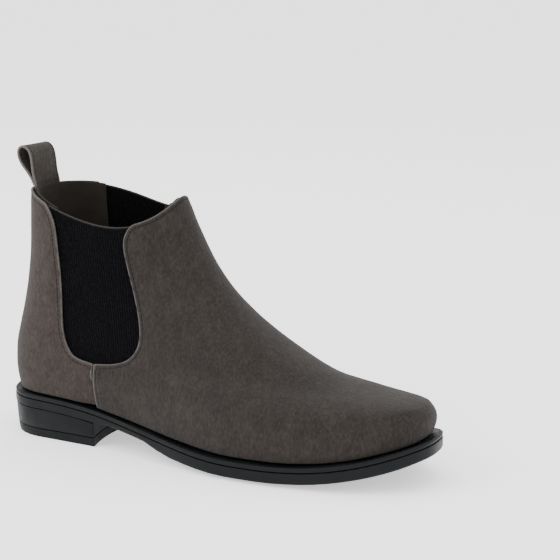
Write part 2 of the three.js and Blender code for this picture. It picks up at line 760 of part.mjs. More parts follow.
const nailTop = (x) => weltTop(x) + BOARD_TOP - GAP / 2;

function nail([x, y]) {
  const top = nailTop(x);
  return stackedPlate([
    circle(x, y, NAIL_HEAD_RADIUS, top),
    circle(x, y, NAIL_HEAD_RADIUS, top - NAIL_HEAD_HEIGHT),
    circle(x, y, NAIL_RADIUS, top - NAIL_HEAD_HEIGHT),
    circle(x, y, NAIL_RADIUS, top - NAIL_LENGTH + 2 * NAIL_RADIUS),
    circle(x, y, NAIL_RADIUS / 4, top - NAIL_LENGTH),
  ]);
}

/** Room for a nail and its head. */
function nailHole([x, y]) {
  const [top, room] = [nailTop(x), NAIL_RADIUS + GAP];
  return stackedPlate([
    circle(x, y, NAIL_HEAD_RADIUS + GAP, top + 5),
    circle(x, y, NAIL_HEAD_RADIUS + GAP, top - NAIL_HEAD_HEIGHT - GAP),
    circle(x, y, room, top - NAIL_HEAD_HEIGHT - GAP),
    circle(x, y, room, top - NAIL_LENGTH - GAP),
  ]);
}

/** Strip along the middle of the foot, between two heights above the welt. */
function shankStrip(grown, low, high) {
  const [from, to] = [SHANK_BACK - grown, SHANK_BACK + SHANK_LENGTH + grown];
  const half = SHANK_WIDTH / 2 + grown;
  const grid = (rise) =>
    steps(12).map((u) => {
      const x = mix(from, to, u);
      const narrow = half - 2 * (1 - Math.sin(Math.PI * u)) ** 4;
      return [-1, 0, 1].map((v) => new THREE.Vector3(x, v * narrow, weltTop(x) + rise));
    });
  return solidBetween(grid(high), grid(low));
}

function toSolid(geometry) {
  const { index } = geometry;
  const position = geometry.getAttribute("position").array;
  return new wasm.Manifold(
    new wasm.Mesh({ numProp: 3, vertProperties: new Float32Array(position), triVerts: new Uint32Array(index.array) }),
  );
}

/** The first geometry with the others cut out of it. */
function cut(geometry, tools) {
  const whole = tools.reduce((solid, tool) => solid.subtract(toSolid(tool)), toSolid(geometry));
  const mesh = whole.getMesh();
  const points = [];
  for (let i = 0; i < mesh.vertProperties.length; i += mesh.numProp) {
    points.push(new THREE.Vector3().fromArray(mesh.vertProperties, i));
  }
  return closedGeometry(points, [...mesh.triVerts]);
}

const holes = NAIL_PLACES.map(nailHole);
const SHANK_TOP = BOARD_BOTTOM - GAP;
const shankSlot = shankStrip(GAP, SHANK_TOP - SHANK_THICKNESS - GAP, SHANK_TOP + 2);
const board = innerPlate(BOARD_INSET, BOARD_BOTTOM, BOARD_TOP, 24, 4);
const filler = innerPlate(LASTING_MARGIN + 1, GAP - WELT_THICKNESS, BOARD_BOTTOM - GAP, 24, 4);

add("outsole", cut(outsole(), holes), RUBBER_MATERIAL);
add("heel_block", cut(heelBlock(), holes), RUBBER_MATERIAL);
add("heel_top_lift", heelSlice(HEEL_INSET, flat(LIFT_THICKNESS), HEEL_INSET + 0.8, flat(0)), RUBBER_MATERIAL);
add("insole_board", cut(board, holes), BOARD_MATERIAL);
add("bottom_filler", cut(filler, [...holes, shankSlot]), BOARD_MATERIAL);
add("shank", shankStrip(0, SHANK_TOP - SHANK_THICKNESS, SHANK_TOP), STEEL_MATERIAL);
NAIL_PLACES.forEach((place, i) => add(`heel_nail_${i + 1}`, nail(place), STEEL_MATERIAL));
add("sock_liner", innerPlate(BOARD_INSET + 1.2, SOCK_BOTTOM, SOCK_TOP, 24, 4), LINING_MATERIAL);
add(
  "heel_pad",
  innerPlate(BOARD_INSET + 3, SOCK_TOP + GAP, SOCK_TOP + GAP + HEEL_PAD_THICKNESS, 10, 4, HEEL_PAD_REACH),
  LINING_MATERIAL,
);

const box = new THREE.Box3().setFromObject(scene);
const middle = box.getCenter(new THREE.Vector3());
scene.position.set(-middle.x, -middle.y, -box.min.z);
export default scene;
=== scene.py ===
"""Chelsea boot, right foot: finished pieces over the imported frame.

Metres, +X to the toe, +Y to the medial side, +Z up. The suede, lining and elastic pieces are smooth copies of
their CAD panels, the pull tab is one strap, and the sole gets its tread, seams and stitches.
"""

from __future__ import annotations

import json
import logging
import math
from dataclasses import dataclass, field
from enum import Enum
from typing import Callable, Iterable, Sequence

import bmesh
import bpy
from mathutils import Matrix, Vector, noise
from mathutils.bvhtree import BVHTree
from mathutils.kdtree import KDTree


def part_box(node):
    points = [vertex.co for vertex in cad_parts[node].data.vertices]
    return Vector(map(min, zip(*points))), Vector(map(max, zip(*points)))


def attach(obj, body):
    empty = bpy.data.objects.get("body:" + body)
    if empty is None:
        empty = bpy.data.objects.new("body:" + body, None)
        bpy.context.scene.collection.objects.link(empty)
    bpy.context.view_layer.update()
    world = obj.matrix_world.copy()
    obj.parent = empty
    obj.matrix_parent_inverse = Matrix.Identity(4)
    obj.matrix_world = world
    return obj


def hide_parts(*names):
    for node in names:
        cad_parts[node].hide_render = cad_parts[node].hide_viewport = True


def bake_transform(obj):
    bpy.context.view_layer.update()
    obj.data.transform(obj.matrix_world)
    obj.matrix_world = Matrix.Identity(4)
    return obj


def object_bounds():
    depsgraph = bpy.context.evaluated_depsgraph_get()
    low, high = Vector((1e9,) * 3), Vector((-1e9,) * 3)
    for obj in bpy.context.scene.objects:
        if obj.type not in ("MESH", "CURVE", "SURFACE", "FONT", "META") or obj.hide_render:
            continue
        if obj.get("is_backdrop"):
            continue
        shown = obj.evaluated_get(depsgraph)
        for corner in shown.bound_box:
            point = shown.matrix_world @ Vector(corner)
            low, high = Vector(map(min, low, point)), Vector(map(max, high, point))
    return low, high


log = logging.getLogger("boot")
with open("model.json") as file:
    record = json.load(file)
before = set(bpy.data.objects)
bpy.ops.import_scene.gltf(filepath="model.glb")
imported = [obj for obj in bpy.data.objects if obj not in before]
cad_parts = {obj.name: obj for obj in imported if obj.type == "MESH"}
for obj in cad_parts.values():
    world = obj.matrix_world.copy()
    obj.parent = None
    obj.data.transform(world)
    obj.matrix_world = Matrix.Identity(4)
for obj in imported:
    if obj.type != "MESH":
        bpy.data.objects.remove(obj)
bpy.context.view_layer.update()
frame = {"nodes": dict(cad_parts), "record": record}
MM = 0.001
BOOT, TAB = "boot", "pull_tab"  # the two bodies

# Driving sizes of the looks, in metres
SEAM_INSET = 2.6 * MM  # from a cut edge to its row of stitches
SECOND_ROW = 5.0 * MM  # the same for the side seam's second row
GORE_FOOT = 0.0535  # height of the gores' lowest point; the quarters are tucked under the vamp below it
WELT_FOOT = 0.033  # height up to which the welt hides the upper
SOLE_BORDER = 9.0 * MM  # smooth border round the forefoot's tread
HEEL_BORDER = 9.5 * MM
TREAD_BACK = -0.006  # where the forefoot's tread starts
BREAST = -0.082  # where the heel's U ends
FRAME = (-0.048, -0.034, 0.015)  # the waist's empty frame: back, front and half its width
SOLE_STITCHES_BACK = -0.045


class Skin(Enum):
    """Faces of a panel, by material index."""

    OUTER = 0
    CUT_EDGE = 1
    BACK = 2


# ---------------------------------------------------------------- finishes


class Graph:
    """Small helper that builds one node material."""

    def __init__(self, name: str) -> None:
        """Makes an empty material.

        Args:
            name: The material's name.
        """
        self.material = bpy.data.materials.new(name)
        self.material.use_nodes = True
        self.nodes = self.material.node_tree.nodes
        self.links = self.material.node_tree.links
        self.nodes.clear()
        self.shader = self.nodes.new("ShaderNodeBsdfPrincipled")
        out = self.nodes.new("ShaderNodeOutputMaterial")
        self.links.new(self.shader.outputs[0], out.inputs["Surface"])
        self.place = self.nodes.new("ShaderNodeTexCoord").outputs["Object"]

    def put(self, socket: bpy.types.NodeSocket, value: object) -> None:
        """Links a socket, or sets its value.

        Args:
            socket: Input to feed.
            value: Another node's output, or a plain value.
        """
        if isinstance(value, bpy.types.NodeSocket):
            self.links.new(value, socket)
        else:
            socket.default_value = value

    def stretched(self, scale: Sequence[float], turn: Sequence[float] = (0, 0, 0)) -> bpy.types.NodeSocket:
        """Object coordinates, scaled and turned.

        Args:
            scale: Factor along each axis.
            turn: Rotation about each axis, in radians.

        Returns:
            The vector output.
        """
        node = self.nodes.new("ShaderNodeMapping")
        node.inputs["Rotation"].default_value = turn
        node.inputs["Scale"].default_value = scale
        self.links.new(self.place, node.inputs["Vector"])
        return node.outputs[0]

    def noise(
        self, size: float, detail: float = 4.0, rough: float = 0.55, at: object = None
    ) -> bpy.types.NodeSocket:
        """Noise with features of a given size.

        Args:
            size: Size of a feature in metres.
            detail: Octaves.
            rough: How strong the finer octaves are.
            at: Coordinates, or None for Object coordinates.

        Returns:
            The noise value.
        """
        node = self.nodes.new("ShaderNodeTexNoise")
        node.inputs["Scale"].default_value = 1 / size
        node.inputs["Detail"].default_value = detail
        node.inputs["Roughness"].default_value = rough
        self.links.new(at or self.place, node.inputs["Vector"])
        return node.outputs["Fac"]

    def ribs(
        self, pitch: float, turn: Sequence[float] = (0, 0, 0), wobble: float = 0.0
    ) -> bpy.types.NodeSocket:
        """Sine ribs across X after a turn.

        Args:
            pitch: Distance between ribs in metres.
            turn: Rotation of the coordinates, in radians.
            wobble: Distortion.

        Returns:
            A value from 0 to 1.
        """
        node = self.nodes.new("ShaderNodeTexWave")
        node.wave_type, node.bands_direction = "BANDS", "X"
        node.inputs["Scale"].default_value = 2 * math.pi / pitch / 20
        node.inputs["Distortion"].default_value = wobble
        node.inputs["Detail Scale"].default_value = 3.0
        self.links.new(self.stretched((1, 1, 1), turn), node.inputs["Vector"])
        return node.outputs["Fac"]

    def attribute(self, name: str) -> bpy.types.NodeSocket:
        """A number stored on the mesh.

        Args:
            name: The attribute's name.

        Returns:
            Its value.
        """
        node = self.nodes.new("ShaderNodeAttribute")
        node.attribute_name = name
        return node.outputs["Fac"]

    def ramp(
        self, value: bpy.types.NodeSocket, low: float, high: float, out: tuple[float, float] = (0, 1)
    ) -> bpy.types.NodeSocket:
        """Smooth step of a value.

        Args:
            value: Input.
            low: Where the step starts.
            high: Where it ends.
            out: Values at both ends.

        Returns:
            The stepped value.
        """
        node = self.nodes.new("ShaderNodeMapRange")
        node.interpolation_type = "SMOOTHSTEP"
        for key, number in zip(("From Min", "From Max", "To Min", "To Max"), (low, high, *out)):
            node.inputs[key].default_value = number
        self.links.new(value, node.inputs["Value"])
        return node.outputs[0]

    def sum(self, a: object, b: object, kind: str = "ADD") -> bpy.types.NodeSocket:
        """Arithmetic on two values.

        Args:
            a: First value.
            b: Second value.
            kind: A Math node's operation.

        Returns:
            The result.
        """
        node = self.nodes.new("ShaderNodeMath")
        node.operation = kind
        self.put(node.inputs[0], a)
        self.put(node.inputs[1], b)
        return node.outputs[0]

    def mix(self, share: object, a: object, b: object) -> bpy.types.NodeSocket:
        """Blend of two colours.

        Args:
            share: 0 gives a and 1 gives b.
            a: A colour or a socket.
            b: A colour or a socket.

        Returns:
            The colour.
        """
        node = self.nodes.new("ShaderNodeMix")
        node.data_type = "RGBA"
        colour = [s for s in node.inputs if s.type == "RGBA"]
        self.put(node.inputs["Factor"], share)
        self.put(colour[0], a)
        self.put(colour[1], b)
        return [s for s in node.outputs if s.type == "RGBA"][0]

    def bump(self, height: bpy.types.NodeSocket, depth: float, under: object = None) -> bpy.types.NodeSocket:
        """Bump from a height of 0 to 1.

        Args:
            height: The height.
            depth: What a height of 1 stands for, in metres.
            under: Another bump to build on.

        Returns:
            The normal.
        """
        node = self.nodes.new("ShaderNodeBump")
        node.inputs["Distance"].default_value = depth
        self.links.new(height, node.inputs["Height"])
        if under is not None:
            self.links.new(under, node.inputs["Normal"])
        return node.outputs[0]

    def finish(
        self, colour: object, rough: object, normal: object = None, **more: object
    ) -> bpy.types.Material:
        """Feeds the shader.

        Args:
            colour: Base colour.
            rough: Roughness.
            normal: Bump, if any.
            more: Further inputs by name, with _ for a space.

        Returns:
            The material.
        """
        self.put(self.shader.inputs["Base Color"], colour)
        self.put(self.shader.inputs["Roughness"], rough)
        if normal is not None:
            self.links.new(normal, self.shader.inputs["Normal"])
        for key, value in more.items():
            self.shader.inputs[key.replace("_", " ")].default_value = value
        return self.material


def tone(red: float, green: float, blue: float) -> tuple[float, float, float, float]:
    """Colour from 0 to 255 as seen on a screen, as linear light.

    Args:
        red: Red.
        green: Green.
        blue: Blue.

    Returns:
        The linear colour with full alpha.
    """
    parts = [c / 255 / 12.92 if c < 10.3 else ((c / 255 + 0.055) / 1.055) ** 2.4 for c in (red, green, blue)]
    return (*parts, 1.0)


@dataclass(frozen=True)
class Suede:
    """Napped split leather with brushed blotches, worn edges and a pressed seam line darkened by painted
    shade.
    """

    name: str
    base: tuple[float, float, float, float]
    light: tuple[float, float, float, float]
    dark: tuple[float, float, float, float]
    seam: float = 2.6  # distance of the seam line from the cut edge, in mm
    worn: tuple[float, float, float, float] = tone(88, 84, 81)
    nap: float = 0.24 * MM

    def make(self) -> bpy.types.Material:
        """Builds the material."""
        g = Graph(self.name)
        brushed = g.stretched((1, 1, 0.45), (0.0, 0.35, 0.0))
        blotch = g.ramp(g.noise(0.026, 6, 0.68), 0.38, 0.66)
        patch = g.ramp(g.noise(0.0055, 6, 0.72, brushed), 0.36, 0.7)
        fibre = g.noise(0.0014, 4, 0.75, brushed)
        colour = g.mix(g.ramp(blotch, 0, 1, (0, 0.34)), self.base, self.light)
        colour = g.mix(g.ramp(patch, 0, 1, (0.45, 0)), colour, self.dark)
        colour = g.mix(g.ramp(fibre, 0.46, 0.66, (0, 0.5)), colour, self.light)
        colour = g.mix(g.ramp(fibre, 0.34, 0.5, (0.55, 0)), colour, self.dark)
        rim = g.attribute("rim")
        edge = g.ramp(rim, 0.2, 1.1, (0.55, 0))
        colour = g.mix(edge, colour, self.worn)
        line = g.ramp(g.sum(g.sum(rim, self.seam, "SUBTRACT"), 0, "ABSOLUTE"), 0.15, 0.8, (1, 0))
        # Painted shade: the suede is darkened along the pressed seam groove; the same mask also sinks the
        # groove as a bump.
        colour = g.mix(g.sum(line, 0.6, "MULTIPLY"), colour, self.dark)
        height = g.sum(fibre, g.sum(g.noise(0.004, 4, 0.6), 1.0, "MULTIPLY"))
        normal = g.bump(height, self.nap)
        normal = g.bump(g.sum(1.0, line, "SUBTRACT"), 0.25 * MM, normal)
        return g.finish(colour, 0.97, normal, Specular_IOR_Level=0.05, Sheen_Weight=0.07, Sheen_Roughness=0.6)


@dataclass(frozen=True)
class CutEdge:
    """Raw edge of the hide, paler and fibrous."""

    name: str
    base: tuple[float, float, float, float]
    dark: tuple[float, float, float, float]

    def make(self) -> bpy.types.Material:
        """Builds the material."""
        g = Graph(self.name)
        fibre = g.noise(0.0007, 3, 0.7)
        colour = g.mix(g.ramp(fibre, 0.35, 0.7, (0.6, 0)), self.base, self.dark)
        return g.finish(colour, 0.97, g.bump(fibre, 0.12 * MM), Specular_IOR_Level=0.1)


@dataclass(frozen=True)
class Elastic:
    """Woven elastic with slightly slanted ribs, their tops lighter by painted highlight, and a paler selvage
    along its top.
    """

    name: str
    base: tuple[float, float, float, float]
    # colour of the rib tops: a painted highlight
    rib_highlight: tuple[float, float, float, float]
    selvage: tuple[float, float, float, float]
    pitch: float = 1.7 * MM
    slant: float = 0.13

    def make(self) -> bpy.types.Material:
        """Builds the material."""
        g = Graph(self.name)
        ribs = g.ribs(self.pitch, (0, self.slant, 0), 0.25)
        picks = g.ribs(1.3 * MM, (0, math.pi / 2 - 0.5, 0), 0.4)
        rise = g.ramp(g.sum(ribs, g.sum(picks, 0.45, "MULTIPLY")), 0.35, 1.3)
        # Painted highlight on the rib tops, painted shade in the valleys between them.
        colour = g.mix(g.sum(rise, g.ramp(g.noise(0.0016, 2), 0.3, 0.7), "MULTIPLY"), self.base, self.rib_highlight)
        colour = g.mix(g.attribute("topline"), colour, self.selvage)
        return g.finish(colour, 0.95, g.bump(rise, 0.5 * MM), Specular_IOR_Level=0.06)


@dataclass(frozen=True)
class Textile:
    """Fine woven or brushed lining."""

    name: str
    base: tuple[float, float, float, float]
    light: tuple[float, float, float, float]
    pitch: float = 0.9 * MM
    depth: float = 0.12 * MM

    def make(self) -> bpy.types.Material:
        """Builds the material."""
        g = Graph(self.name)
        warp = g.ribs(self.pitch, (0, 0.1, 0.2), 0.8)
        weft = g.ribs(self.pitch, (0, math.pi / 2, 0.1), 0.8)
        weave = g.sum(warp, weft, "MULTIPLY")
        cloud = g.ramp(g.noise(0.012, 4), 0.35, 0.7, (0.15, 0.7))
        share = g.sum(g.sum(weave, 0.3, "MULTIPLY"), g.sum(cloud, 0.6, "MULTIPLY"))
        colour = g.mix(share, self.base, self.light)
        return g.finish(colour, 0.93, g.bump(weave, self.depth), Specular_IOR_Level=0.05, Sheen_Weight=0.05)


@dataclass(frozen=True)
class Rubber:
    """Moulded satin rubber with a fine texture, dust and a few scuffs."""

    name: str
    base: tuple[float, float, float, float]
    dust: tuple[float, float, float, float]
    rough: tuple[float, float] = (0.42, 0.6)

    def make(self) -> bpy.types.Material:
        """Builds the material."""
        g = Graph(self.name)
        grain = g.noise(0.0006, 2, 0.5)
        cloud = g.noise(0.02, 5, 0.6)
        scuff = g.ramp(g.noise(0.004, 4, 0.7, g.stretched((0.25, 0.6, 2.2))), 0.6, 0.74)
        colour = g.mix(g.ramp(cloud, 0.4, 0.75, (0, 0.45)), self.base, self.dust)
        colour = g.mix(g.sum(scuff, 0.25, "MULTIPLY"), colour, self.dust)
        rough = g.sum(g.ramp(cloud, 0.35, 0.7, self.rough), g.sum(scuff, 0.12, "MULTIPLY"))
        normal = g.bump(g.sum(grain, g.sum(g.noise(0.006, 3), 2.0, "MULTIPLY")), 0.035 * MM)
        return g.finish(colour, rough, normal, Specular_IOR_Level=0.14)


@dataclass(frozen=True)
class Thread:
    """Twisted waxed thread."""

    name: str
    base: tuple[float, float, float, float]
    light: tuple[float, float, float, float]

    def make(self) -> bpy.types.Material:
        """Builds the material."""
        g = Graph(self.name)
        twist = g.ribs(0.5 * MM, (0.6, 0.7, 0.3), 0.3)
        colour = g.mix(twist, self.base, self.light)
        return g.finish(colour, 0.7, g.bump(twist, 0.06 * MM), Specular_IOR_Level=0.15)


@dataclass(frozen=True)
class Grained:
    """Board, stiffener or metal: one colour broken by a grain."""

    name: str
    base: tuple[float, float, float, float]
    light: tuple[float, float, float, float]
    size: float
    stretch: tuple[float, float, float] = (1, 1, 1)
    rough: float = 0.85
    metal: float = 0.0
    depth: float = 0.06 * MM

    def make(self) -> bpy.types.Material:
        """Builds the material."""
        g = Graph(self.name)
        grain = g.noise(self.size, 5, 0.65, g.stretched(self.stretch))
        colour = g.mix(g.ramp(grain, 0.35, 0.7), self.base, self.light)
        rough = g.ramp(grain, 0.3, 0.7, (self.rough - 0.06, min(1.0, self.rough + 0.06)))
        return g.finish(colour, rough, g.bump(grain, self.depth), Metallic=self.metal)


@dataclass
class Finishes:
    """Every finish of the boot, made once."""

    vamp: bpy.types.Material = field(init=False)
    quarter: bpy.types.Material = field(init=False)
    strap: bpy.types.Material = field(init=False)
    edge: bpy.types.Material = field(init=False)
    flesh: bpy.types.Material = field(init=False)
    elastic: bpy.types.Material = field(init=False)
    lining: bpy.types.Material = field(init=False)
    sock: bpy.types.Material = field(init=False)
    tape: bpy.types.Material = field(init=False)
    rubber: bpy.types.Material = field(init=False)
    lift: bpy.types.Material = field(init=False)
    thread: bpy.types.Material = field(init=False)
    welt_thread: bpy.types.Material = field(init=False)
    board: bpy.types.Material = field(init=False)
    cork: bpy.types.Material = field(init=False)
    stiffener: bpy.types.Material = field(init=False)
    steel: bpy.types.Material = field(init=False)

    def __post_init__(self) -> None:
        """Builds the materials."""
        # Painted light: vamp and quarters are one suede, the quarters in lighter tones as its lit copy and
        # the vamp as its shaded copy.
        self.vamp = Suede("suede_vamp_painted_shade", tone(38, 34, 32), tone(52, 47, 43), tone(26, 23, 21)).make()
        self.quarter = Suede("suede_quarter_painted_light", tone(46, 40, 37), tone(62, 54, 50), tone(33, 28, 26)).make()
        self.strap = Suede("suede_strap", tone(44, 40, 36), tone(58, 53, 48), tone(30, 27, 24), 1.8).make()
        self.edge = CutEdge("suede_cut_edge", tone(92, 88, 84), tone(58, 55, 52)).make()
        self.flesh = CutEdge("suede_flesh_side", tone(44, 40, 37), tone(30, 27, 25)).make()
        # The elastic's second tone is the painted highlight on its rib tops.
        self.elastic = Elastic("gore_elastic", tone(2, 2, 3), tone(16, 16, 19), tone(60, 57, 54)).make()
        lining = Textile("lining_textile", tone(32, 29, 26), tone(44, 40, 36), 0.7 * MM, 0.05 * MM)
        self.lining = lining.make()
        self.sock = Textile("sock_textile", tone(44, 42, 40), tone(66, 62, 58), 1.2 * MM).make()
        self.tape = Textile("reinforcing_tape", tone(40, 38, 36), tone(60, 58, 56), 0.6 * MM).make()
        self.rubber = Rubber("sole_rubber", tone(3, 5, 7), tone(8, 12, 15)).make()
        self.lift = Rubber("top_lift_rubber", tone(3, 5, 6), tone(8, 11, 13), (0.5, 0.66)).make()
        self.thread = Thread("seam_thread", tone(7, 6, 6), tone(16, 14, 13)).make()
        self.welt_thread = Thread("welt_thread", tone(4, 4, 5), tone(26, 28, 30)).make()
        self.board = Grained("insole_fibreboard", tone(150, 128, 98), tone(186, 164, 130), 0.002).make()
        cork = Grained("cork_filler", tone(112, 82, 54), tone(168, 132, 92), 0.0028, depth=0.2 * MM)
        self.cork = cork.make()
        self.stiffener = Grained("stiffener_fibre", tone(190, 184, 170), tone(214, 209, 198), 0.0012).make()
        self.steel = Grained(
            "steel", tone(150, 152, 156), tone(190, 192, 196), 0.001, (0.1, 1, 1), 0.38, 1.0, 0.01 * MM
        ).make()


# ---------------------------------------------------------------- mesh helpers


def node_mesh(node: str, quads: bool = True) -> bmesh.types.BMesh:
    """Copy of a CAD node's mesh, merged, with its triangles joined to quads.

    Args:
        node: The CAD node.
        quads: False keeps the triangles.

    Returns:
        A new bmesh.
    """
    bm = bmesh.new()
    bm.from_mesh(frame["nodes"][node].data)
    bmesh.ops.remove_doubles(bm, verts=bm.verts, dist=0.02 * MM)
    if quads:
        limit = math.radians(50)
        bmesh.ops.join_triangles(
            bm, faces=bm.faces, angle_face_threshold=limit, angle_shape_threshold=math.radians(80)
        )
    bm.normal_update()
    return bm


def sheets(bm: bmesh.types.BMesh, sharp: float) -> list[list[bmesh.types.BMFace]]:
    """Faces grouped into smooth sheets, which sharp edges part, from the largest to the smallest."""
    bm.faces.ensure_lookup_table()
    seen: set[int] = set()
    groups = []
    for start in bm.faces:
        if start.index in seen:
            continue
        seen.add(start.index)
        group, stack = [], [start]
        while stack:
            face = stack.pop()
            group.append(face)
            for edge in face.edges:
                if edge.calc_face_angle(math.pi) > sharp:
                    continue
                for other in edge.link_faces:
                    if other.index not in seen:
                        seen.add(other.index)
                        stack.append(other)
        groups.append(group)
    return sorted(groups, key=lambda g: -sum(f.calc_area() for f in g))


def mark_skins(bm: bmesh.types.BMesh, heart: Vector, sharp: float) -> None:
    """Gives each face of a panel its Skin as material index.

    Args:
        bm: The panel.
        heart: A point that the outer side faces away from.
        sharp: Angle from which an edge parts two skins.
    """
    groups = sheets(bm, sharp)
    for group in groups[:2]:
        outward = sum((f.calc_center_median() - heart).dot(f.normal) * f.calc_area() for f in group)
        for face in group:
            face.material_index = Skin.OUTER.value if outward > 0 else Skin.BACK.value
    main_faces = {f.index for group in groups[:2] for f in group}
    for group in groups[2:]:
        touching = {o for f in group for e in f.edges for o in e.link_faces}
        beside = {o.material_index for o in touching if o.index in main_faces}
        skin = beside.pop() if len(beside) == 1 else Skin.CUT_EDGE.value
        for face in group:
            face.material_index = skin


def crease(bm: bmesh.types.BMesh, sharp: float, amount: float, soft: tuple[float, float] = (0, 0)) -> None:
    """Holds the sharp edges of a mesh when it is subdivided, except between two heights."""
    layer = bm.edges.layers.float.get("crease_edge") or bm.edges.layers.float.new("crease_edge")
    for edge in bm.edges:
        if all(soft[0] < vert.co.z < soft[1] for vert in edge.verts):
            continue
        if edge.calc_face_angle(0.0) > sharp:
            edge[layer] = amount


def make_piece(
    bm: bmesh.types.BMesh, name: str, materials: Iterable[bpy.types.Material], smooth: bool = True
) -> bpy.types.Object:
    """Turns a bmesh into an object at the origin.

    Args:
        bm: The mesh, freed here.
        name: Name of the piece.
        materials: Its material slots.
        smooth: Whether its faces shade smoothly.

    Returns:
        The object.
    """
    mesh = bpy.data.meshes.new(name)
    for face in bm.faces:
        face.smooth = smooth
    bm.to_mesh(mesh)
    bm.free()
    piece = bpy.data.objects.new(name, mesh)
    bpy.context.scene.collection.objects.link(piece)
    for material in materials:
        mesh.materials.append(material)
    return piece


def subdivide(piece: bpy.types.Object, levels: int) -> None:
    """Rounds a piece with a subdivision surface, which is then applied."""
    modifier = piece.modifiers.new("round", "SUBSURF")
    modifier.levels = modifier.render_levels = levels
    settle(piece)


def settle(piece: bpy.types.Object) -> None:
    """Applies every modifier of a piece."""
    graph = bpy.context.evaluated_depsgraph_get()
    graph.update()
    mesh = bpy.data.meshes.new_from_object(piece.evaluated_get(graph))
    piece.modifiers.clear()
    piece.data = mesh


def shade_by_angle(piece: bpy.types.Object, degrees: float) -> None:
    """Smooth shading with the edges above an angle left sharp."""
    piece.data.shade_smooth()
    piece.data.set_sharp_from_angle(angle=math.radians(degrees))


def tree_of(piece: bpy.types.Object, skin: Skin | None = None) -> BVHTree:
    """Search tree of a piece's faces, or of those of one skin."""
    mesh = piece.data
    faces = [list(p.vertices) for p in mesh.polygons if skin is None or p.material_index == skin.value]
    return BVHTree.FromPolygons([v.co.copy() for v in mesh.vertices], faces)


def node_tree(node: str) -> BVHTree:
    """Search tree of a CAD node."""
    return tree_of(frame["nodes"][node])


def chains(edges: Iterable[tuple[int, int]]) -> list[list[int]]:
    """Joins edges, given as pairs of vertex indices, into chains; a closed one ends where it starts."""
    around: dict[int, list[int]] = {}
    for a, b in edges:
        around.setdefault(a, []).append(b)
        around.setdefault(b, []).append(a)
    left = {frozenset((a, b)) for a in around for b in around[a]}
    result = []
    ends = [v for v in around if len(around[v]) == 1] + list(around)
    for start in ends:
        chain = [start]
        while True:
            step = next((n for n in around[chain[-1]] if frozenset((chain[-1], n)) in left), None)
            if step is None:
                break
            left.discard(frozenset((chain[-1], step)))
            chain.append(step)
        if len(chain) > 2:
            result.append(chain)
    return result


def evenly(points: Sequence[Vector], pitch: float) -> list[Vector]:
    """Points at even distances along a line of points."""
    result, spare = [points[0].copy()], pitch
    for a, b in zip(points, points[1:]):
        length = (b - a).length
        travelled = 0.0
        while length - travelled >= spare:
            travelled += spare
            result.append(a.lerp(b, travelled / length))
            spare = pitch
        spare -= length - travelled
    return result


@dataclass
class Seam:
    """A row of stitches that lies on a surface."""

    finish: bpy.types.Material
    length: float = 2.1 * MM
    pitch: float = 2.9 * MM
    thick: float = 0.62 * MM
    sunk: float = 0.06 * MM

    def sew(self, name: str, rows: Sequence[Sequence[tuple[Vector, Vector]]]) -> bpy.types.Object | None:
        """Makes all stitches of some rows as one piece.

        Args:
            name: Name of the piece.
            rows: For each row, its points with the surface normal there, one for each stitch.

        Returns:
            The piece, or None if there is no stitch.
        """
        bm = bmesh.new()
        for row in rows:
            for (here, normal), (there, _) in zip(row, row[1:]):
                along = there - here
                if not 0.5 * self.pitch < along.length < 1.6 * self.pitch:
                    continue
                self.stitch(bm, here - normal * self.sunk, along.normalized(), normal)
        if not bm.faces:
            bm.free()
            return None
        return make_piece(bm, name, [self.finish])

    def stitch(self, bm: bmesh.types.BMesh, middle: Vector, along: Vector, normal: Vector) -> None:
        """Adds one stitch: a short thread with its ends pulled into the surface."""
        made = bmesh.ops.create_icosphere(bm, subdivisions=1, radius=0.5)
        across = normal.cross(along).normalized()
        up = along.cross(across).normalized()
        turn = Matrix((along, across, up)).transposed()
        for vert in made["verts"]:
            co = vert.co.copy()
            pull = abs(co.x) * 2
            sag = 0.25 * self.thick * pull**2
            co = Vector((co.x * self.length, co.y * self.thick, co.z * self.thick - sag))
            vert.co = middle + turn @ co


# ---------------------------------------------------------------- upper


